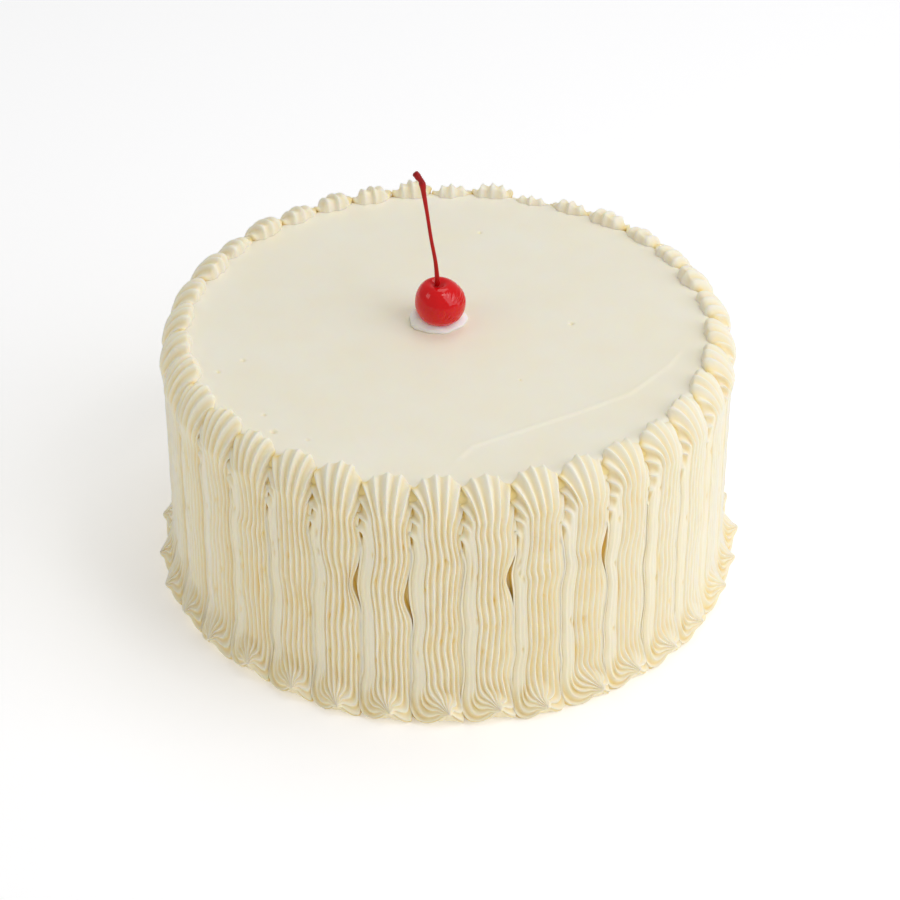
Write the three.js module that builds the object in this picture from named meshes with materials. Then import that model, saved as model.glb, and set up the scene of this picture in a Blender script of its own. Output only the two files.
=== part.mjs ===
// Round layer cake in ivory buttercream: a smooth iced cylinder, upright piped strokes
// side by side all round its side, and one stemmed cherry on a dab of icing on top.
// Millimetres, +Z up, origin at the centre of the underside, front towards -Y.
import * as THREE from "three";

// Iced cake under the piping
const CAKE_RADIUS = 102;
const CAKE_HEIGHT = 101.5;
const SHOULDER_DROP = 9;
const SHOULDER_INSET = 3.5;
const CAKE_SEGMENTS = 72;

// Clearance kept between neighbouring pieces
const GAP = 0.3;

// Piped strokes
const STROKE_COUNT = 36;
const FIRST_STROKE_DEG = -2.2;
const SPACING_DRIFTS_DEG = [
  { turns: 1, size: 2, phase: -17 },
  { turns: 2, size: 1.1, phase: 146 },
];
const STROKE_BACK = CAKE_RADIUS + GAP;
const STROKE_DEPTH = 5.7;
const HALF_WIDTH = 9;
const RIDGE_COUNT = 5;
const RIDGE_HEIGHT = 0.5;
const BACK_POINTS = 5;

// Fanned shell at the top of each stroke, measured along the icing from the foot of the shoulder
const SHELL_REACH = 10;
const SHELL_UNDERCUT = 3;
const SHELL_DEPTH = 7.4;
const SHELL_FULLER_AT_BACK = 0.8;
const SHELL_SQUARENESS = 0.65;
const FAN_START = -8;
const FAN_ANGLE = THREE.MathUtils.degToRad(100);
const FAN_HANDLE = 5;
const FAN_STATIONS = [1, 0.9, 0.58, 0];
const HOLLOW_UNDER_FAN = 2;

// Star foot of each stroke: rings given as [outward, up] points of flank, face and back
const FOOT_RINGS = [
  { half: HALF_WIDTH, flank: [0, 16], face: [STROKE_DEPTH, 16], back: [0, 16] },
  { half: HALF_WIDTH, flank: [1.5, 5], face: [7.3, 11.5], back: [0, 0] },
  { half: 0.93 * HALF_WIDTH, flank: [6, 3.6], face: [6.8, 10.6], back: [6.2, 0] },
];
const PEAK = [10.7, 8.5];

// Cherry, its stem and the dab of icing under it
const CHERRY_X = -2.8;
const CHERRY_Y = 5.2;
const CHERRY_RISE = 9.4;
const CHERRY_RADIUS = 9.7;
const CHERRY_BELOW = 8.5;
const DIMPLE_RADIUS = 3.4;
const DIMPLE_DEPTH = 2.4;
const CHERRY_LEAN = 1.25;
const CHERRY_SEGMENTS = 20;
const STEM_RADIUS = 0.75;
const STEM_FLARE = 0.45;
const STEM_SIDES = 8;
const STEM_ROWS = 12;
const STEM_LINE = [
  [-1.2, 0, 8.2],
  [-1.9, 0, 18.6],
  [-4.8, 0, 38.8],
  [-6.5, 0, 52.1],
  [-9.2, 0, 56.6],
];
const DAB_X = -3.7;
const DAB_Y = 6.6;
const DAB_RADIUS = 10.8;
const DAB_HEIGHT = 3.2;
const DAB_SEGMENTS = 20;

const BUTTERCREAM = { color: 0xebe5d0, roughness: 0.55, metalness: 0 };
const WHITE_ICING = { color: 0xf2eee4, roughness: 0.5, metalness: 0 };
const CHERRY_SKIN = { color: 0xc61a1e, roughness: 0.18, metalness: 0 };
const CHERRY_STEM = { color: 0xa81420, roughness: 0.4, metalness: 0 };

const cake = new THREE.Group();
cake.name = "layer_cake";

function addPiece(name, geometry, look) {
  const piece = new THREE.Mesh(geometry, new THREE.MeshStandardMaterial(look));
  piece.name = name;
  cake.add(piece);
}

// Closed skin whose rows run from one pole to the other; place(row, column) gives each point.
function mould(around, along, place) {
  const geometry = new THREE.SphereGeometry(1, around, along);
  const position = geometry.attributes.position;
  for (let i = 0; i < position.count; i += 1) {
    const row = Math.floor(i / (around + 1));
    const column = (i % (around + 1)) % around;
    const point = place(row, column);
    position.setXYZ(i, point.x, point.y, point.z);
  }
  geometry.deleteAttribute("normal");
  geometry.deleteAttribute("uv");
  return geometry;
}

// Iced cake: a lathe with a sloped shoulder that the tops of the strokes sit on.
const cakeProfile = [
  [0, 0],
  [CAKE_RADIUS, 0],
  [CAKE_RADIUS, CAKE_HEIGHT - SHOULDER_DROP],
  [CAKE_RADIUS - SHOULDER_INSET, CAKE_HEIGHT],
  [0, CAKE_HEIGHT],
].map(([radius, height]) => new THREE.Vector2(radius, height));
addPiece("iced_cake", new THREE.LatheGeometry(cakeProfile, CAKE_SEGMENTS).rotateX(Math.PI / 2), BUTTERCREAM);

// Rounded arch across a stroke, 1 in the middle and 0 at both flanks.
function arch(across) {
  return Math.sqrt(1 - Math.abs(across) ** 3);
}

// Fills a round outline out towards a square one.
function squared(value) {
  return Math.sign(value) * Math.abs(value) ** SHELL_SQUARENESS;
}

// Point at a distance along the icing from the foot of the shoulder, lifted off it by a depth.
function overShoulder(along, depth) {
  const slope = Math.hypot(SHOULDER_DROP, SHOULDER_INSET);
  const climb = THREE.MathUtils.clamp(along / slope, 0, 1);
  const turn = (climb * Math.PI) / 2;
  const past = Math.max(along - slope, 0);
  const outward = -SHOULDER_INSET * climb - past + depth * Math.cos(turn);
  const up = CAKE_HEIGHT - SHOULDER_DROP + Math.min(along, 0) + (SHOULDER_DROP + GAP) * climb + depth * Math.sin(turn);
  return [outward, up];
}

// Point of the fan at the top: each ridge leaves the column upright and bends out to the shell's edge.
function fanPoint(across, reach, ridge, shellDepth) {
  const sideways = squared(Math.sin(across * FAN_ANGLE));
  const upwards = squared(Math.cos(across * FAN_ANGLE));
  const ridgeLine = new THREE.CubicBezierCurve(
    new THREE.Vector2(across * HALF_WIDTH, FAN_START),
    new THREE.Vector2(across * HALF_WIDTH, FAN_START + FAN_HANDLE),
    new THREE.Vector2((HALF_WIDTH - FAN_HANDLE) * sideways, (SHELL_REACH - FAN_HANDLE) * upwards),
    new THREE.Vector2(HALF_WIDTH * sideways, SHELL_REACH * upwards),
  );
  const onIcing = ridgeLine.getPoint(reach);
  const swell = THREE.MathUtils.smoothstep(reach, 0, 0.55);
  const closing = Math.sqrt(1 - reach ** 8);
  const depth = (arch(across) * THREE.MathUtils.lerp(STROKE_DEPTH, shellDepth, swell) + ridge) * closing;
  return [onIcing.x, ...overShoulder(onIcing.y, Math.max(depth, GAP))];
}

// Point of the fan's hidden back, flat against the icing.
function fanBack(across, reach) {
  const low = -SHELL_UNDERCUT * arch(across) + SHELL_REACH * squared(Math.cos(FAN_ANGLE));
  return [across * HALF_WIDTH, ...overShoulder(THREE.MathUtils.lerp(FAN_START, low, reach), 0)];
}

function footPoint(ring, across, toBack, ridge) {
  const target = toBack ? ring.back : ring.face;
  const lift = arch(across) * (1 + ridge / STROKE_DEPTH);
  const outward = ring.flank[0] + (target[0] - ring.flank[0]) * lift;
  const up = ring.flank[1] + (target[1] - ring.flank[1]) * lift;
  return [across * ring.half, Math.max(outward, 0), Math.max(up, 0)];
}

// One stroke: fanned shell at the top, ridged column, and a star foot pulled out to a small peak.
const FACE_POINTS = 2 * RIDGE_COUNT + 1;
const STROKE_AROUND = FACE_POINTS + BACK_POINTS;
const STROKE_ROWS = FAN_STATIONS.length + FOOT_RINGS.length + 1;

function strokePoint(row, column, shellDepth) {
  if (row === 0) {
    return [0, ...overShoulder(SHELL_REACH / 2, HOLLOW_UNDER_FAN)];
  }
  if (row === STROKE_ROWS) {
    return [0, ...PEAK];
  }
  const toBack = column >= FACE_POINTS;
  const across = toBack
    ? 1 - (2 * (column - FACE_POINTS + 1)) / (BACK_POINTS + 1)
    : (2 * column) / (FACE_POINTS - 1) - 1;
  const atEdge = Math.abs(across) === 1;
  const ridge = atEdge || toBack ? 0 : column % 2 === 1 ? RIDGE_HEIGHT : -RIDGE_HEIGHT;
  if (row > FAN_STATIONS.length) {
    return footPoint(FOOT_RINGS[row - FAN_STATIONS.length - 1], across, toBack, ridge);
  }
  const reach = FAN_STATIONS[row - 1];
  return toBack ? fanBack(across, reach) : fanPoint(across, reach, ridge, shellDepth);
}

// Direction of each stroke: even steps that drift a little, as a hand's do.
function strokeAngle(number) {
  const even = FIRST_STROKE_DEG + (360 * number) / STROKE_COUNT;
  const drifts = SPACING_DRIFTS_DEG.map(
    ({ turns, size, phase }) => size * Math.sin(THREE.MathUtils.degToRad(turns * even + phase)),
  );
  return THREE.MathUtils.degToRad(even + drifts[0] + drifts[1]);
}

const CLEAR_ANGLE = GAP / (2 * CAKE_RADIUS);

for (let number = 0; number < STROKE_COUNT; number += 1) {
  const middle = strokeAngle(number);
  const leftHalf = (middle - strokeAngle(number - 1)) / 2 - CLEAR_ANGLE;
  const rightHalf = (strokeAngle(number + 1) - middle) / 2 - CLEAR_ANGLE;
  const shellDepth = SHELL_DEPTH - SHELL_FULLER_AT_BACK * Math.cos(middle);
  const geometry = mould(STROKE_AROUND, STROKE_ROWS, (row, column) => {
    const [sideways, outward, up] = strokePoint(row, column, shellDepth);
    const angle = middle + (sideways / HALF_WIDTH) * (sideways < 0 ? leftHalf : rightHalf);
    const radius = STROKE_BACK + outward;
    return new THREE.Vector3(radius * Math.sin(angle), -radius * Math.cos(angle), up);
  });
  addPiece(`stroke_${String(number + 1).padStart(2, "0")}`, geometry, BUTTERCREAM);
}

// Dab of icing: a low round pat pressed into a cup by the cherry.
const cherryCentre = new THREE.Vector3(CHERRY_X, CHERRY_Y, CAKE_HEIGHT + CHERRY_RISE);

function seatHeight(radius) {
  const cup = Math.sqrt(1 - (radius / (CHERRY_RADIUS + GAP)) ** 2);
  return CHERRY_RISE - (CHERRY_BELOW + GAP) * cup;
}

const seatRadius = 0.7 * CHERRY_RADIUS;
const dabRows = [
  { middle: [CHERRY_X, CHERRY_Y], radius: 0, up: seatHeight(0) },
  { middle: [CHERRY_X, CHERRY_Y], radius: seatRadius / 2, up: seatHeight(seatRadius / 2) },
  { middle: [CHERRY_X, CHERRY_Y], radius: seatRadius, up: seatHeight(seatRadius) },
  { middle: [DAB_X, DAB_Y], radius: 0.86 * DAB_RADIUS, up: DAB_HEIGHT },
  { middle: [DAB_X, DAB_Y], radius: DAB_RADIUS, up: 0.45 * DAB_HEIGHT },
  { middle: [DAB_X, DAB_Y], radius: 0.93 * DAB_RADIUS, up: GAP },
  { middle: [DAB_X, DAB_Y], radius: 0, up: GAP },
];
const dabGeometry = mould(DAB_SEGMENTS, dabRows.length - 1, (row, column) => {
  const { middle, radius, up } = dabRows[row];
  const angle = (2 * Math.PI * column) / DAB_SEGMENTS;
  return new THREE.Vector3(
    middle[0] + radius * Math.cos(angle),
    middle[1] + radius * Math.sin(angle),
    CAKE_HEIGHT + up,
  );
});
addPiece("icing_dab", dabGeometry, WHITE_ICING);

// Cherry: round, slightly flat below, with a dimple that leans to the left.
const cherryProfile = [];
const CHERRY_STEPS = 11;
for (let step = 0; step <= CHERRY_STEPS; step += 1) {
  const angle = -Math.PI / 2 + (Math.PI * step) / CHERRY_STEPS;
  const radius = step === 0 || step === CHERRY_STEPS ? 0 : CHERRY_RADIUS * Math.cos(angle);
  const height = (angle < 0 ? CHERRY_BELOW : CHERRY_RADIUS) * Math.sin(angle);
  const inDimple = angle > 0 ? Math.max(1 - (radius / DIMPLE_RADIUS) ** 2, 0) : 0;
  cherryProfile.push(new THREE.Vector2(radius, height - DIMPLE_DEPTH * inDimple));
}
const cherryGeometry = new THREE.LatheGeometry(cherryProfile, CHERRY_SEGMENTS).rotateX(Math.PI / 2);
const cherryPosition = cherryGeometry.attributes.position;
for (let i = 0; i < cherryPosition.count; i += 1) {
  const lift = Math.max(cherryPosition.getZ(i), 0) / CHERRY_RADIUS;
  cherryPosition.setX(i, cherryPosition.getX(i) - CHERRY_LEAN * lift ** 2);
}
cherryGeometry.translate(cherryCentre.x, cherryCentre.y, cherryCentre.z);
addPiece("cherry", cherryGeometry, CHERRY_SKIN);

// Stem: a slim curved stalk, thicker where it joins the fruit and at its cut end.
const stemLine = new THREE.CatmullRomCurve3(
  STEM_LINE.map(([x, y, z]) => new THREE.Vector3(x, y, z).add(cherryCentre)),
);
const stemGeometry = mould(STEM_SIDES, STEM_ROWS + 2, (row, column) => {
  const along = THREE.MathUtils.clamp((row - 1) / STEM_ROWS, 0, 1);
  const middle = stemLine.getPoint(along);
  if (row === 0 || row === STEM_ROWS + 2) {
    return middle;
  }
  const forward = stemLine.getTangent(along);
  const side = new THREE.Vector3(0, 1, 0);
  const level = new THREE.Vector3().crossVectors(forward, side).normalize();
  const radius = STEM_RADIUS + STEM_FLARE * (2 * along - 1) ** 4;
  const angle = (2 * Math.PI * column) / STEM_SIDES;
  return middle
    .addScaledVector(level, radius * Math.cos(angle))
    .addScaledVector(side, radius * Math.sin(angle));
});
addPiece("cherry_stem", stemGeometry, CHERRY_STEM);

export default cake;
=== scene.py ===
import math

import bmesh
import bpy
import numpy as np
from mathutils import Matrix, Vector


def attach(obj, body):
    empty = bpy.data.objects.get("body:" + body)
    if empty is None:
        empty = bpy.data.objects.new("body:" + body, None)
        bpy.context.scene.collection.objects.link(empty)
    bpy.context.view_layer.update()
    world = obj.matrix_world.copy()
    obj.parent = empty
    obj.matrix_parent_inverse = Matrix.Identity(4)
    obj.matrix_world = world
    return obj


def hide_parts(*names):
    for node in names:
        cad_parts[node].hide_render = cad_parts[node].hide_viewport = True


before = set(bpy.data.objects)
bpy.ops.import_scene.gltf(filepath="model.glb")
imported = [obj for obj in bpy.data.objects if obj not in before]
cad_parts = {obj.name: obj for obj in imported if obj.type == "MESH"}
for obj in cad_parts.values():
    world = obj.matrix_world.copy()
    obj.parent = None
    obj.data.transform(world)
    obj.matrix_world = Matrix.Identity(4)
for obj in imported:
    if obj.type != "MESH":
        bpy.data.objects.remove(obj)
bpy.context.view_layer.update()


# Iced cake: sponge layers under a coat of ivory buttercream, levelled with a palette knife.
# One spun skin with a sloped shoulder that the piped tops cover. The knife has left faint sweeps
# and steps in the top, and a few air holes. All sizes are in millimetres until a piece is served.
CAKE_RADIUS = 102
CAKE_HEIGHT = 101.5
SHOULDER_DROP = 9
SHOULDER_INSET = 3.5
# cream squeezed up behind the piping, which shows between the strokes
SQUEEZED = 1.9
CAKE_STEPS = 420
TOP_RINGS = 140
# lines that the knife left: the lip of its last sweep, and a shorter mark on the left
SWEEP_LIP = ((91.6, -6.6), (82.2, -24), (67.2, -41.7), (47.3, -53.9), (30.2, -63.3), (8.7, -75.1),
             (0.5, -88))
LEFT_MARK = ((-43, -43), (-35.5, -62), (-27.7, -87))
# air holes in the top: where, and how wide
AIR_HOLES = ((47, 4.3, 0.9), (12.8, 70, 0.7), (26.8, -33.2, 0.5), (-76.6, -20.1, 0.8),
             (-67, -55.8, 0.7), (-63.2, -66.4, 1.1), (-50.4, -71.4, 0.7), (-85.5, -27.7, 0.8))


def from_hex(code):
    parts = [int(code[i:i + 2], 16) / 255 for i in (0, 2, 4)]
    linear = [c / 12.92 if c <= 0.04045 else ((c + 0.055) / 1.055) ** 2.4 for c in parts]
    return (*linear, 1.0)


def add_node(material, kind, settings=None, links=None):
    node = material.node_tree.nodes.new(kind)
    for key, value in (settings or {}).items():
        if isinstance(key, int) or key in node.inputs:
            node.inputs[key].default_value = value
        else:
            setattr(node, key, value)
    for key, source in (links or {}).items():
        material.node_tree.links.new(source, node.inputs[key])
    return node


def new_material(name):
    material = bpy.data.materials.new(name)
    material.use_nodes = True
    return material, material.node_tree.nodes["Principled BSDF"]


def serve(bm, name, material, node):
    bmesh.ops.scale(bm, vec=(0.001, 0.001, 0.001), verts=bm.verts)
    bmesh.ops.remove_doubles(bm, verts=bm.verts, dist=1e-6)
    bmesh.ops.recalc_face_normals(bm, faces=bm.faces)
    for face in bm.faces:
        face.smooth = True
    mesh = bpy.data.meshes.new(name)
    bm.to_mesh(mesh)
    bm.free()
    mesh.materials.append(material)
    piece = bpy.data.objects.new(name, mesh)
    bpy.context.scene.collection.objects.link(piece)
    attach(piece, "root")
    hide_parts(node)


# Buttercream, whipped butter and sugar: pale ivory, satin, and it lets light in a little. Grooves are also
# painted warmer and yellower than the crests, as painted shade. Fine streaks run down where the tip
# dragged it.
def mix_buttercream(name, crest, shade_and_tint_colour):
    material, shader = new_material(name)
    shade_and_tint = add_node(material, "ShaderNodeAttribute", {"attribute_name": "shade_and_tint"})
    place = add_node(material, "ShaderNodeTexCoord")
    blotch = add_node(material, "ShaderNodeTexNoise", {"Scale": 1 / 0.018, "Detail": 3.0},
                      {"Vector": place.outputs["Object"]})
    drag = add_node(material, "ShaderNodeMapping", {"Scale": (1 / 0.0008, 1 / 0.0008, 1 / 0.03)},
                    {"Vector": place.outputs["Object"]})
    streak = add_node(material, "ShaderNodeTexNoise", {"Scale": 1.0, "Detail": 2.0},
                      {"Vector": drag.outputs["Vector"]})
    shift = add_node(material, "ShaderNodeMath", {"operation": "MULTIPLY_ADD", 1: 0.2, 2: -0.1},
                     {0: blotch.outputs["Fac"]})
    depth = add_node(material, "ShaderNodeMath", {"operation": "ADD", "use_clamp": True},
                     {0: shade_and_tint.outputs["Fac"], 1: shift.outputs["Value"]})
    # painted shade: the colour runs from the crest colour to a warm shade colour painted into grooves,
    # pockets and seams; on the white icing the second colour is a pink tint
    ramp = add_node(material, "ShaderNodeValToRGB", links={"Fac": depth.outputs["Value"]})
    ramp.color_ramp.elements[0].color = from_hex(crest)
    ramp.color_ramp.elements[1].color = from_hex(shade_and_tint_colour)
    bump = add_node(material, "ShaderNodeBump", {"Strength": 0.15, "Distance": 0.0002},
                    {"Height": streak.outputs["Fac"]})
    links = material.node_tree.links
    links.new(ramp.outputs["Color"], shader.inputs["Base Color"])
    links.new(bump.outputs["Normal"], shader.inputs["Normal"])
    shader.inputs["Roughness"].default_value = 0.5
    shader.inputs["IOR"].default_value = 1.45
    shader.inputs["Specular IOR Level"].default_value = 0.35
    shader.inputs["Subsurface Weight"].default_value = 0.6
    shader.inputs["Subsurface Radius"].default_value = (1.0, 0.85, 0.5)
    shader.inputs["Subsurface Scale"].default_value = 0.001
    return material


# the second colour is the warm painted shade of the grooves
buttercream = mix_buttercream("buttercream", "FAF3E1", "FAD76A")


def ease(value, low, high):
    part = np.clip((value - low) / (high - low), 0, 1)
    return part * part * (3 - 2 * part)


def off_line(x, y, line):
    """Distance of points from a drawn line, positive on its left, and how far along it they lie."""
    best = np.full(x.shape, 1e9)
    beside = np.zeros(x.shape)
    along = np.zeros(x.shape)
    for step, ((x0, y0), (x1, y1)) in enumerate(zip(line, line[1:])):
        length = math.hypot(x1 - x0, y1 - y0)
        part = ((x - x0) * (x1 - x0) + (y - y0) * (y1 - y0)) / length ** 2
        part = np.clip(part, 0, 1)
        away = np.hypot(x - x0 - part * (x1 - x0), y - y0 - part * (y1 - y0))
        left = np.sign((x1 - x0) * (y - y0) - (y1 - y0) * (x - x0))
        nearer = away < best
        best = np.where(nearer, away, best)
        beside = np.where(nearer, left * away, beside)
        along = np.where(nearer, (step + part) / (len(line) - 1), along)
    return beside, along


# radius and height from the middle of the underside, up the wall and over the shoulder
bm = bmesh.new()
outline = [(0, 0), (CAKE_RADIUS - 0.6, 0), (CAKE_RADIUS, 0.6), (CAKE_RADIUS + SQUEEZED, 12),
           (CAKE_RADIUS + SQUEEZED, CAKE_HEIGHT - SHOULDER_DROP), (CAKE_RADIUS + 1.6, CAKE_HEIGHT - 3),
           (CAKE_RADIUS + 0.1, CAKE_HEIGHT - 1), (CAKE_RADIUS - 2, CAKE_HEIGHT - 0.1),
           (CAKE_RADIUS - SHOULDER_INSET, CAKE_HEIGHT), (0, CAKE_HEIGHT)]
corners = [bm.verts.new((radius, 0, height)) for radius, height in outline]
edges = [bm.edges.new(pair) for pair in zip(corners, corners[1:])]
bmesh.ops.subdivide_edges(bm, edges=[edges[-1]], cuts=TOP_RINGS)
bmesh.ops.spin(bm, geom=[*bm.verts, *bm.edges], cent=(0, 0, 0), axis=(0, 0, 1), angle=math.tau,
               steps=CAKE_STEPS, use_merge=True)
bmesh.ops.remove_doubles(bm, verts=bm.verts, dist=1e-4)
hole_places = [Vector(hole[:2]) for hole in AIR_HOLES]
near_holes = [face for face in bm.faces if face.calc_center_median().z > CAKE_HEIGHT - 0.1
              and min((face.calc_center_median().xy - place).length for place in hole_places) < 2.6]
bmesh.ops.subdivide_edges(bm, edges=list({edge for face in near_holes for edge in face.edges}), cuts=2,
                          use_grid_fill=True)
x, y, z = np.array([vert.co for vert in bm.verts]).T
radius = np.hypot(x, y)
on_top = z > CAKE_HEIGHT - 0.1
lift = 0.16 * np.sin(x / 31 + 0.6) * np.cos(y / 37 - 0.4) + 0.07 * np.sin((x - 1.6 * y) / 23)
beside, along = off_line(x, y, SWEEP_LIP)
seen = ease(along, 0, 0.15) * (1 - ease(along, 0.9, 1))
lift += seen * 0.22 * np.exp(-(beside / 0.8) ** 2)
lift -= seen * 0.24 * ease(beside, -0.5, 1.5) * (1 - ease(beside, 6, 22))
beside, along = off_line(x, y, LEFT_MARK)
seen = ease(along, 0, 0.3) * (1 - ease(along, 0.8, 1))
lift += seen * 0.12 * np.exp(-(beside / 0.9) ** 2)
# cream smeared up against the piping, mostly at the front right
turn = np.arctan2(x, -y)
smear = 0.35 + 0.65 * ease(turn, 0.1, 0.5) * (1 - ease(turn, 0.9, 1.4))
smear *= 0.55 + 0.25 * np.sin(turn * 31) + 0.2 * np.sin(turn * 57 + 1)
lift += smear * ease(radius, 93.5 + 1.5 * np.sin(turn * 23), 98)
depth = np.zeros(x.shape)
for hole_x, hole_y, size in AIR_HOLES:
    dent = np.exp(-((x - hole_x) ** 2 + (y - hole_y) ** 2) / size ** 2)
    depth += dent
    lift -= 0.8 * size * dent
# painted shade: the air holes are painted warmer by their depth, and the wall and underside, seen only in
# the shaded gaps behind the piping, are painted in warm shade; the rest of the top keeps a slight warm
# tint of its own
shade_and_tint = bm.verts.layers.float.new("shade_and_tint")
for vert, up, top, painted_shade in zip(bm.verts, lift, on_top, depth):
    vert.co.z += up if top else 0
    vert[shade_and_tint] = min(0.06 + 0.25 * painted_shade, 1) if top else 0.7
serve(bm, "iced_cake_skin", buttercream, "iced_cake")


# Piped strokes: buttercream pressed through a fine star tip, one stroke beside the other. The tip
# starts on the top edge, where the cream spreads in a fan of ridges, is drawn down the side, and is
# pulled away at the foot, where the ridges meet in a star with a small peak.
STROKE_COUNT = 36
FIRST_STROKE_DEG = -2.2
# slow drifts of the spacing round the cake: waves in a round, size and phase in degrees
SPACING_DRIFTS = ((1, 2, -17), (2, 1.1, 146))
MEAN_RADIUS = 106
HALF_WIDTH = 9.25
STROKE_DEPTH = 6.2
SUNK = 0.4
# shares of its depth at which a stroke meets its neighbours on the left and on the right
SEAM_SHARES = (0.6, 0.62)
RIDGES = 11
STEPS_PER_RIDGE = 10
BACK_STEPS = 16
GRID_DOWN = 140
# valleys between the ridges across a column, from its left flank to its right one, and the ridges'
# heights: a thin flange, a smooth band that the tip's worn teeth left, then the sharp ridges
VALLEYS = (-1, -0.86, -0.62, -0.52, -0.42, -0.24, 0, 0.24, 0.47, 0.67, 0.83, 1)
COLUMN_RIDGES = np.array((1.3, 0.3, 0.08, 0.1, 1.3, 1.4, 1.5, 1.5, 1.4, 1.25, 1))
# the same valleys in the fan: where they leave the column, above or below the shoulder's foot, where
# they reach the fan's rim, as a share of the width and in height, and their slant there in degrees
FAN_STARTS = (-18, -15, -6.5, -2.5, 0.3, 1.8, 0.5, -0.5, -1, -3, -5, -8)
RIM_SIDES = (-1, -1, -1, -1, -1, -0.86, -0.38, 0.15, 0.68, 1, 1, 1)
RIM_UPS = (-16, -12, -4.5, 0.3, 4.8, 8, 10.8, 11.2, 10.2, 5.8, 2, -2.3)
RIM_SLANTS = np.radians((-70, -74, -76, -74, -68, -40, -14, 4, 18, 28, 26, 22))
FAN_RIDGE = 1.45
FOOT_RIDGE = 1.9
# how thick the fans are, how much more so at the back, and how far they fall away to their sides
SHELL_DEPTH = 8.3
FULLER_AT_BACK = 1.3
DOME = 0.42
# fans that came out low, as seen at the back: where, by how much and over how wide a turn
LOW_FANS_DEG = ((158, 4.6, 8), (181, 2.2, 5))
FOOT_TOP = 18
# turn round the peak from which the foot's outermost ridges come
FOOT_WRAP = np.radians((-190, 150))
# shares of the grid at which the closed end, the fan and the column stop
CAP_END = 0.022
FAN_END = 0.36
COLUMN_END = 0.77
# waves in the seams between strokes and in the hand's path down each: length and size
SEAM_WAVES = ((44, 0.45), (26, 0.4), (15, 0.12))
HAND_WAVES = ((57, 0.45), (31, 0.3), (17, 0.1))


def stroke_angle(number):
    even = FIRST_STROKE_DEG + 360 * number / STROKE_COUNT
    drifts = [size * math.sin(math.radians(turns * even + phase)) for turns, size, phase in SPACING_DRIFTS]
    return math.radians(even + sum(drifts))


def sway(chance, waves):
    phases = chance.uniform(0, math.tau, len(waves))
    return lambda at: sum(size * np.sin(math.tau * at / length + phase)
                          for (length, size), phase in zip(waves, phases))


def seam_sway(number):
    """Sideways wander of the seam on the right of a stroke."""
    return sway(np.random.default_rng(300 + number % STROKE_COUNT), SEAM_WAVES)


def bezier(first, second, third, last, part):
    rest = 1 - part
    ends = rest ** 3 * first + part ** 3 * last
    return ends + 3 * rest ** 2 * part * second + 3 * rest * part ** 2 * third


def over_shoulder(along, depth):
    """Outward and upward place of a point along the icing from the shoulder's foot, and off it."""
    slope = math.hypot(SHOULDER_DROP, SHOULDER_INSET)
    climb = np.clip(along / slope, 0, 1)
    turn = climb ** 1.3 * math.pi / 2
    out = -SHOULDER_INSET * climb - np.maximum(along - slope, 0) + depth * np.cos(turn)
    up = CAKE_HEIGHT - SHOULDER_DROP + np.minimum(along, 0) + SHOULDER_DROP * climb + depth * np.sin(turn)
    return out, up


def roll_grid(around, along):
    """Flat grid to be rolled into a tube, the rows of its vertices, and each one's place."""
    bm = bmesh.new()
    bmesh.ops.create_grid(bm, x_segments=around, y_segments=along, size=1)
    flat = np.array([vert.co.xy for vert in bm.verts])
    rows = np.lexsort((np.round(flat[:, 0], 5), -np.round(flat[:, 1], 5)))
    shape = (along + 1, around + 1)
    return bm, rows, flat[rows, 0].reshape(shape), (1 - flat[rows, 1].reshape(shape)) / 2


def place_grid(bm, rows, points, values):
    bm.verts.ensure_lookup_table()
    shade_and_tint = bm.verts.layers.float.new("shade_and_tint")
    for at, point, value in zip(rows, points.reshape(-1, 3), values.reshape(-1)):
        vert = bm.verts[at]
        vert.co = point
        vert[shade_and_tint] = value


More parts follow.
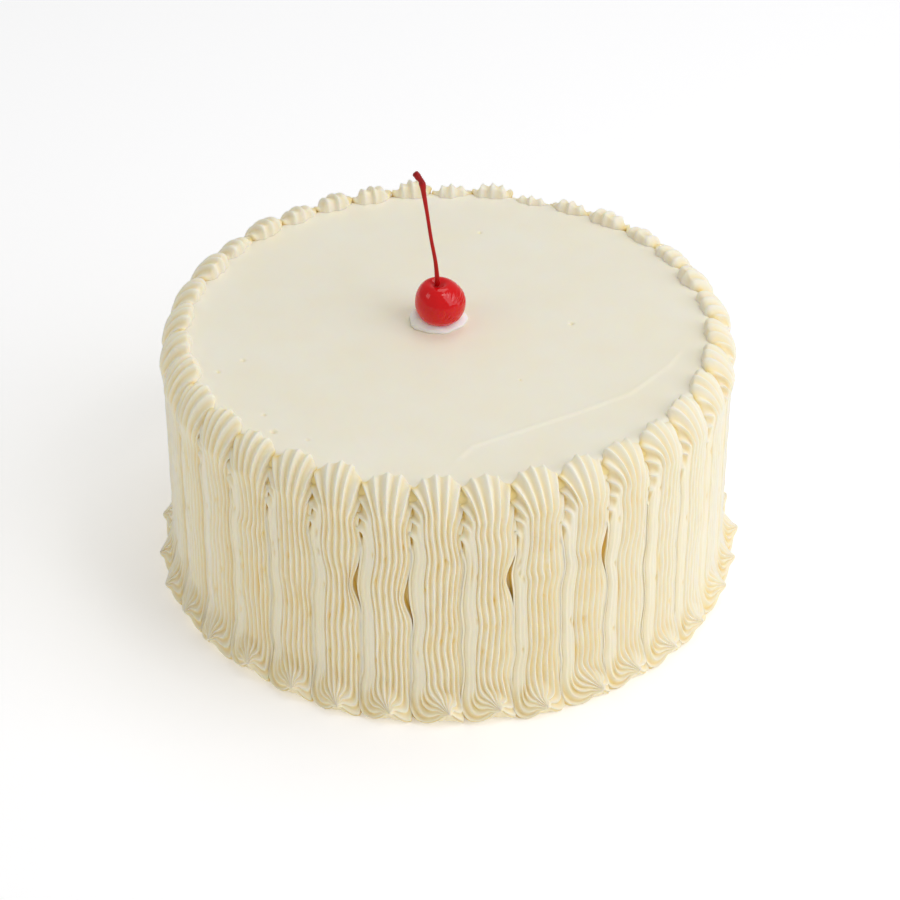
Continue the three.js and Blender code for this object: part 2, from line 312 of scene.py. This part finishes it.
def pipe_stroke(number):
    chance = np.random.default_rng(900 + number)
    middle = stroke_angle(number)
    face_steps = RIDGES * STEPS_PER_RIDGE
    face_share = face_steps / (face_steps + BACK_STEPS)
    bm, rows, around, down = roll_grid(face_steps + BACK_STEPS, GRID_DOWN)

    # where each point lies: across the face, round the back, and down the stroke
    across = np.clip(around / face_share, -1, 1)
    behind = np.clip((np.abs(around) - face_share) / (1 - face_share), 0, 1)
    side = np.sign(around)
    face = behind <= 1e-6
    steps = np.linspace(-1, 1, RIDGES + 1)
    spread = np.where(face, np.interp(across, steps, VALLEYS), side * (2 - 2 * behind).clip(0, 1))
    arch = np.where(face, (1 - np.abs(spread) ** 3.2).clip(0) ** 0.5, 0)
    edge = np.where(side < 0, SEAM_SHARES[0], SEAM_SHARES[1])
    fill = np.where(face, edge + (1 - edge) * arch, edge * (1 - 2 * behind).clip(0))
    in_cap = np.clip(1 - down / CAP_END, 0, 1)
    in_fan = np.clip(1 - (down - CAP_END) / (FAN_END - CAP_END), 0, 1)
    in_column = np.clip((down - FAN_END) / (COLUMN_END - FAN_END), 0, 1)
    in_foot = np.clip((down - COLUMN_END) / (1 - COLUMN_END), 0, 1)
    turns = RIDGES * (across + 1) / 2
    which = np.clip(np.floor(turns + 1e-6).astype(int), 0, RIDGES - 1)
    part = np.clip(turns - which, 0, 1)
    crest = np.where(part < 0.62, (part / 0.62) ** 1.6, ((1 - part) / 0.38) ** 1.4)
    crest = np.where(face, crest, np.abs(np.sin(2 * math.pi * behind)))

    # this stroke's own hand: how thick, tall and far over the edge it came out
    depth = STROKE_DEPTH * chance.uniform(0.95, 1.05)
    shell = (SHELL_DEPTH - FULLER_AT_BACK * math.cos(middle)) * chance.uniform(0.94, 1.05)
    for where, less, wide in LOW_FANS_DEG:
        shell -= less * math.exp(-((math.degrees(middle) - where) / wide) ** 2)
    reach = chance.uniform(-0.6, 0.5)
    low_start = chance.uniform(0, 5)
    peak = (chance.uniform(0, 4), chance.uniform(10, 12), chance.uniform(7.5, 10))

    # fan at the top edge: each ridge leaves the column upright and bends out to the shell's rim
    shaky = RIM_SIDES + chance.normal(0, 0.04, RIDGES + 1) * (np.abs(RIM_SIDES) < 1)
    rim_side = HALF_WIDTH * np.where(face, np.interp(across, steps, shaky), spread)
    rim_up = np.interp(across, steps, RIM_UPS + chance.normal(0, 0.45, RIDGES + 1))
    over_top = ease(rim_up, 6.5, 9.5)
    rim_up = rim_up + over_top * (reach + 0.4 * crest)
    rim_up = rim_up + behind * (-16 - rim_up)
    slant = np.interp(across, steps, RIM_SLANTS) * (1 - behind)
    start = np.interp(across, steps, FAN_STARTS + chance.normal(0, 0.5, RIDGES + 1)) - low_start
    start = start + behind * (-18 - start)
    rise = 0.33 * (rim_up - start)
    # on the left the ridges arch over and hook down between this fan and its neighbour
    hooked = (1 - over_top) * ease(-spread, 0.2, 0.45) * face
    column_side = HALF_WIDTH * spread
    lead = 0.8 * rise + hooked * (0.7 * np.abs(rim_side - column_side) - 0.8 * rise)
    rise = rise * (1 + hooked)
    fan_side = bezier(column_side, column_side, rim_side - lead * np.sin(slant), rim_side, in_fan)
    fan_up = bezier(start, start + rise, rim_up - lead * np.cos(slant), rim_up, in_fan)
    pressed = 0.65 * (1 - over_top)
    closing = pressed + (1 - pressed) * np.sqrt((1 - in_fan ** 3).clip(0))
    domed = 1 - DOME * ease(fan_up, -6, 4) * np.abs(fan_side / HALF_WIDTH) ** 2.5
    thick = fill * (depth + (shell - depth) * ease(fan_up, -9, 4)) * closing * domed - SUNK
    fan_out, fan_high = over_shoulder(fan_up, thick)

    # column down the side
    top_of_column = CAKE_HEIGHT - SHOULDER_DROP + start
    column_high = top_of_column + (FOOT_TOP - top_of_column) * in_column
    below_shoulder = column_high - (CAKE_HEIGHT - SHOULDER_DROP)
    column_out = fill * (depth + (shell - depth) * ease(below_shoulder, -9, 4)) - SUNK

    # star foot: every ridge bends in to the peak, those of the flanks from below
    bend = np.interp(across, (-1, 1), FOOT_WRAP)
    bend = np.where(side < 0, bend, bend + behind * (math.tau + FOOT_WRAP[0] - FOOT_WRAP[1]))
    pull = 4.5 + 4 * ease(np.abs(bend), 0.8, 2.6)
    drop = np.where(face, 4 + 22 * np.abs(spread) ** 2, 26 + 3 * behind)
    flare = 5.5 * np.abs(spread) ** 2
    from_peak = 2.6 - 1.8 * ease(np.abs(bend), 0.8, 2.6)
    widest = column_side * (1 + 0.6 * np.abs(spread) ** 3)
    foot_side = bezier(column_side, widest, peak[0] + pull * np.sin(bend), peak[0], in_foot)
    wall = fill * depth - SUNK
    foot_out = bezier(wall, wall + flare, peak[1] - from_peak, peak[1], in_foot)
    foot_high = bezier(FOOT_TOP, FOOT_TOP - drop, peak[2] + pull * np.cos(bend), peak[2], in_foot)
    tip = ease(in_foot, 0.82, 1)
    foot_side = foot_side + 1.2 * tip
    foot_out = foot_out + 1.6 * tip
    foot_high = foot_high - 0.9 * tip

    in_upper = down <= FAN_END
    in_middle = down <= COLUMN_END
    sideways = np.where(in_upper, fan_side, np.where(in_middle, column_side, foot_side))
    out = np.where(in_upper, fan_out, np.where(in_middle, column_out, foot_out))
    high = np.where(in_upper, fan_high, np.where(in_middle, column_high, foot_high))

    # ridges, raised along the surface's own normal, with small pits and slits where air was caught
    skin = np.stack((sideways, out, high), axis=-1)
    normal = np.cross(np.gradient(skin, axis=1), np.gradient(skin, axis=0))
    normal = normal / np.maximum(np.linalg.norm(normal, axis=-1, keepdims=True), 1e-9)
    fan_part = ease(in_fan, 0.05, 0.75)
    foot_part = ease(in_foot, 0.05, 0.5)
    height = COLUMN_RIDGES[which] * (1 - fan_part) * (1 - foot_part)
    crest = crest ** (1 + 0.8 * hooked * fan_part)
    fan_rise = fan_part + hooked * (ease(in_fan, 0.1, 0.75) - fan_part)
    height = height + FAN_RIDGE * (1 + 0.6 * hooked - 0.5 * over_top * ease(in_fan, 0.75, 1)) * fan_rise
    height = height + FOOT_RIDGE * foot_part * (1 - in_foot) ** 0.5
    uneven = 1 + 0.12 * np.sin(high / 2.3 + chance.uniform(0, math.tau, RIDGES)[which]) * (1 - fan_part)
    height = np.where(face, height * uneven, 0.7 * foot_part * (1 - in_foot) ** 0.5)
    height = height * ease(down, CAP_END - 0.005, CAP_END + 0.01)
    pits = np.zeros(down.shape)
    for pit in range(9):
        pit_side = chance.uniform(-0.75, 0.85) * HALF_WIDTH
        pit_high = chance.uniform(22, 84)
        long = 5 if pit == 0 else chance.uniform(0.8, 1.5)
        pits += np.exp(-((sideways - pit_side) / 0.45) ** 2 - ((high - pit_high) / long) ** 2)
    pits = np.where(face, pits.clip(0, 1), 0)
    skin = skin + normal * (height * (crest - 0.45 * (1 - behind)) - 0.6 * pits)[..., None]
    cap = np.array((0, *over_shoulder(3, -3)))
    skin = skin + (cap - skin) * in_cap[..., None]

    # sway of the hand, and the neighbours that the stroke is pressed against or gapes from
    sideways, out, high = np.moveaxis(skin, -1, 0)
    steady = ease(high, 6, 24) * (1 - 0.7 * ease(high, 84, 100))
    left = (middle - stroke_angle(number - 1)) / 2 * MEAN_RADIUS - steady * seam_sway(number - 1)(high)
    right = (stroke_angle(number + 1) - middle) / 2 * MEAN_RADIUS + steady * seam_sway(number)(high)
    kink_at = chance.uniform(58, 84)
    kink = chance.uniform(-0.9, 0.9) * np.tanh((high - kink_at) / 2)
    hand = sway(chance, HAND_WAVES)(high) + kink * np.exp(-((high - kink_at) / 14) ** 2)
    place = sideways / HALF_WIDTH
    for limit in (1, -1):
        room = 1 - limit * place
        place = limit * (1 - (room + np.sqrt(room ** 2 + 0.001)) / 2)
    gape = 2 * (chance.uniform(0, 1) < 0.27) * np.exp(-((high - chance.uniform(30, 80)) / 8) ** 2)
    place = (1.05 + 0.03 * ease(in_fan, 0, 0.4)) * place
    sideways = np.where(place < 0, place * left, place * (right - gape * ease(place, 0.4, 0.9)))
    sideways = sideways + steady * hand * (1 - place ** 2).clip(0)

    angle = middle + sideways / MEAN_RADIUS
    radius = CAKE_RADIUS + out
    points = np.stack((radius * np.sin(angle), -radius * np.cos(angle), high.clip(0)), axis=-1)
    # painted shade: how deep each point lies in a groove, a pocket or a seam, painted into the colour as
    # warm shade; the pits are painted as shade too, the smooth band a little darker as shade, and the back
    # of the stroke, against the cake, is painted in shade
    band = ease(-spread, 0.38, 0.48) * (1 - ease(-spread, 0.8, 0.9)) * (1 - fan_part)
    painted_shade = (0.38 - 0.12 * fan_part) * (1 - crest) ** 2 * height.clip(0, 1.5) + 0.33 * (1 - arch) ** 1.5
    painted_shade = painted_shade + 0.02 + 0.12 * band + 0.4 * pits + 0.6 * (1 - over_top) * ease(in_fan, 0.75, 1)
    painted_shade = np.where(face, painted_shade, 1 - 0.7 * foot_part)
    place_grid(bm, rows, points, painted_shade.clip(0, 1))
    return bm


for number in range(STROKE_COUNT):
    node = f"stroke_{number + 1:02d}"
    serve(pipe_stroke(number), f"piped_{node}", buttercream, node)


# Dab of icing under the cherry: a pat of whiter icing that the fruit has pressed into a cup, so
# that it stands up round it in a soft lip, highest on the left. It is tinted pink in patches round the
# lip.
CHERRY_CENTRE = (-2.8, 5.2, CAKE_HEIGHT + 9.4)
CHERRY_RADIUS = 9.7
CHERRY_BELOW = 8.5
DAB_CENTRE = (-3.7, 6.6)
# radius and height, from the middle of the cup over the lip to the middle of the underside
DAB_OUTLINE = ((0, 0.7), (4, 1.6), (6.6, 3.1), (7.8, 3.6), (9, 3.3), (10.1, 2.2), (10.8, 1), (10.6, 0.2),
               (0, 0.2))
bm = bmesh.new()
corners = [bm.verts.new((radius, 0, height)) for radius, height in DAB_OUTLINE]
edges = [bm.edges.new(pair) for pair in zip(corners, corners[1:])]
bmesh.ops.spin(bm, geom=[*bm.verts, *bm.edges], cent=(0, 0, 0), axis=(0, 0, 1), angle=math.tau, steps=72,
               use_merge=True)
bmesh.ops.remove_doubles(bm, verts=bm.verts, dist=1e-4)
shade_and_tint = bm.verts.layers.float.new("shade_and_tint")
for vert in bm.verts:
    angle = math.atan2(vert.co.y, vert.co.x)
    radius = vert.co.xy.length
    rough = 1 + 0.035 * math.sin(2 * angle + 1) + 0.025 * math.sin(5 * angle + 2)
    rough += 0.015 * math.sin(9 * angle) - 0.08 * max(-math.sin(angle), 0)
    uneven = 0.3 * math.cos(angle - 3.0) + 0.1 * math.sin(7 * angle)
    uneven += 0.4 * min(math.sin(angle), 0) * ease(radius, 7, 9)
    swell = 1 + uneven * min(radius / 7, 1)
    tinted = 0.5 + 0.5 * math.sin(4 * angle) * math.sin(9 * angle)
    vert[shade_and_tint] = max(0, 1 - abs(radius - 7) / 2.2) * tinted
    vert.co.z = CAKE_HEIGHT + 0.2 + (vert.co.z - 0.2) * swell
    vert.co.xy = Vector(DAB_CENTRE) + vert.co.xy * rough
white_icing = mix_buttercream("white_icing", "FEFAF0", "FAE2D9")
serve(bm, "icing_dab_pat", white_icing, "icing_dab")


# Cherry: a bottled cocktail cherry, round, with a dimple where the stem goes in and a patch of fine
# wrinkles on its right. Its skin is glossy and clear red, and light goes some way into the flesh.
bm = bmesh.new()
bmesh.ops.create_uvsphere(bm, u_segments=220, v_segments=130, radius=CHERRY_RADIUS)
for vert in bm.verts:
    x, y, z = vert.co
    flat = vert.co.xy.length
    wrinkled = max(0, min(1, (x - 0.4 * y - 2.5) / 4)) * max(0, min(1, (8 - abs(z)) / 3))
    crease = (1 - abs(math.sin((0.8 * x - 0.62 * z) * 1.9 + math.sin(z * 0.9)))) ** 1.5
    vert.co *= 1 - 0.045 * wrinkled * crease * max(0, math.sin((x + 1.2 * z) * 0.55 + 1))
    if z < 0:
        vert.co.z *= 1 - (1 - CHERRY_BELOW / CHERRY_RADIUS) * (z / CHERRY_RADIUS) ** 4
    else:
        vert.co.z -= 2.8 * math.exp(-(flat / 2.9) ** 2)
        vert.co.x -= 1.25 * (max(vert.co.z, 0) / CHERRY_RADIUS) ** 2
bmesh.ops.translate(bm, vec=CHERRY_CENTRE, verts=bm.verts)
cherry_skin, shader = new_material("cherry_skin")
place = add_node(cherry_skin, "ShaderNodeTexCoord")
blotch = add_node(cherry_skin, "ShaderNodeTexNoise", {"Scale": 1 / 0.006, "Detail": 3.0},
                  {"Vector": place.outputs["Object"]})
ramp = add_node(cherry_skin, "ShaderNodeValToRGB", links={"Fac": blotch.outputs["Fac"]})
ramp.color_ramp.elements[0].color = from_hex("D00008")
ramp.color_ramp.elements[1].color = from_hex("E6060B")
cherry_skin.node_tree.links.new(ramp.outputs["Color"], shader.inputs["Base Color"])
shader.inputs["Roughness"].default_value = 0.05
shader.inputs["Subsurface Weight"].default_value = 0.35
shader.inputs["Subsurface Radius"].default_value = (1.0, 0.12, 0.08)
shader.inputs["Subsurface Scale"].default_value = 0.004
shader.inputs["Specular IOR Level"].default_value = 0.42
serve(bm, "cherry_fruit", cherry_skin, "cherry")


# Stem: the cherry's own stalk, dyed red with the fruit. It is slim, swells to a collar near its end,
# and ends in a bent, rough stub where it was picked. Given as sideways and upward place and radius.
STEM_LINE = ((-1.2, 7.2, 1.1), (-1.25, 11.5, 0.92), (-1.9, 18.6, 0.76), (-3.5, 28.7, 0.7),
             (-4.8, 38.8, 0.72), (-6.1, 48.2, 0.95), (-6.5, 51.6, 1.3), (-7.1, 53.3, 1.05),
             (-8.3, 55.2, 1.25), (-9.3, 56.7, 1.2))
STEM_AROUND = 20
STEM_ALONG = 120
bm, rows, around, along = roll_grid(STEM_AROUND, STEM_ALONG)
knots = np.array(STEM_LINE)
at = along * (len(knots) - 1)
span = np.clip(np.floor(at).astype(int), 0, len(knots) - 2)
rest = (at - span)[..., None]
before, first, second, after = (knots[np.clip(span + step, 0, len(knots) - 1)] for step in (-1, 0, 1, 2))
line = 0.5 * (2 * first + (second - before) * rest
              + (2 * before - 5 * first + 4 * second - after) * rest ** 2
              + (3 * first - before - 3 * second + after) * rest ** 3)
slant = np.gradient(line[..., :2], axis=0)
slant = slant / np.linalg.norm(slant, axis=-1, keepdims=True)
rough = 1 + ease(along, 0.66, 0.72) * 0.12 * np.sin(5 * math.pi * around + 40 * along) * np.sin(90 * along)
thick = line[..., 2] * rough * np.sqrt((1 - (2 * along - 1) ** 40).clip(0))
level = thick * np.cos(math.pi * around)
points = np.stack((CHERRY_CENTRE[0] + line[..., 0] + level * slant[..., 1],
                   CHERRY_CENTRE[1] + thick * np.sin(math.pi * around),
                   CHERRY_CENTRE[2] + line[..., 1] - level * slant[..., 0]), axis=-1)
place_grid(bm, rows, points, ease(along, 0.68, 0.76))
stalk, shader = new_material("cherry_stalk")
place = add_node(stalk, "ShaderNodeTexCoord")
blotch = add_node(stalk, "ShaderNodeTexNoise", {"Scale": 1 / 0.003, "Detail": 3.0},
                  {"Vector": place.outputs["Object"]})
picked = add_node(stalk, "ShaderNodeAttribute", {"attribute_name": "shade_and_tint"})
shade = add_node(stalk, "ShaderNodeMath", {"operation": "MULTIPLY_ADD", 1: 0.5, "use_clamp": True},
                 {0: picked.outputs["Fac"], 2: blotch.outputs["Fac"]})
ramp = add_node(stalk, "ShaderNodeValToRGB", links={"Fac": shade.outputs["Value"]})
ramp.color_ramp.elements[0].color = from_hex("CC020A")
ramp.color_ramp.elements[1].color = from_hex("980A0A")
stalk.node_tree.links.new(ramp.outputs["Color"], shader.inputs["Base Color"])
shader.inputs["Roughness"].default_value = 0.3
shader.inputs["Specular IOR Level"].default_value = 0.25
serve(bm, "cherry_stalk_piece", stalk, "cherry_stem")


# Studio: a plain pale floor, a white room, a large soft light and a small lamp on the right, weaker
# ones on the left and above, and the camera at the height and distance the photograph shows.
bm = bmesh.new()
bmesh.ops.create_grid(bm, x_segments=1, y_segments=1, size=6)
mesh = bpy.data.meshes.new("floor")
bm.to_mesh(mesh)
bm.free()
floor = bpy.data.objects.new("floor", mesh)
bpy.context.scene.collection.objects.link(floor)
paper, shader = new_material("pale_paper")
shader.inputs["Base Color"].default_value = from_hex("F9F9F8")
shader.inputs["Roughness"].default_value = 0.9
shader.inputs["Emission Color"].default_value = (1, 1, 1, 1)
shader.inputs["Emission Strength"].default_value = 0.23
mesh.materials.append(paper)

scene = bpy.context.scene
scene.world = bpy.data.worlds.new("white_room")
scene.world.use_nodes = True
scene.world.node_tree.nodes["Background"].inputs["Color"].default_value = (1, 1, 1, 1)
scene.world.node_tree.nodes["Background"].inputs["Strength"].default_value = 0.42
scene.view_settings.view_transform = "Standard"


def add_light(name, place, aim, size, watts, colour=(1, 1, 1)):
    data = bpy.data.lights.new(name, "AREA")
    data.size = size
    data.energy = watts
    data.color = colour
    light = bpy.data.objects.new(name, data)
    scene.collection.objects.link(light)
    light.location = place
    light.rotation_euler = (light.location - Vector(aim)).to_track_quat("Z", "Y").to_euler()


add_light("right_softbox", (1.15, -0.5, 0.95), (0, 0, 0.05), 1.3, 8.7, (0.99, 0.99, 1.09))
add_light("right_lamp", (0.58, -0.41, 1.45), (0, 0, 0.1), 0.4, 2)
add_light("left_softbox", (-1.1, -0.4, 0.95), (0, 0, 0.08), 0.5, 1.3)
add_light("top_softbox", (0.3, 0.5, 1.6), (0, 0, 0.1), 0.9, 4.7)

lens = bpy.data.cameras.new("camera")
lens.sensor_width = 36
lens.lens = 120.8
lens.clip_start = 0.05
camera = bpy.data.objects.new("camera", lens)
scene.collection.objects.link(camera)
camera.location = (0.00085, -0.9555, 0.737)
camera.rotation_euler = (math.radians(90 - 35.9), 0, 0)
scene.camera = camera
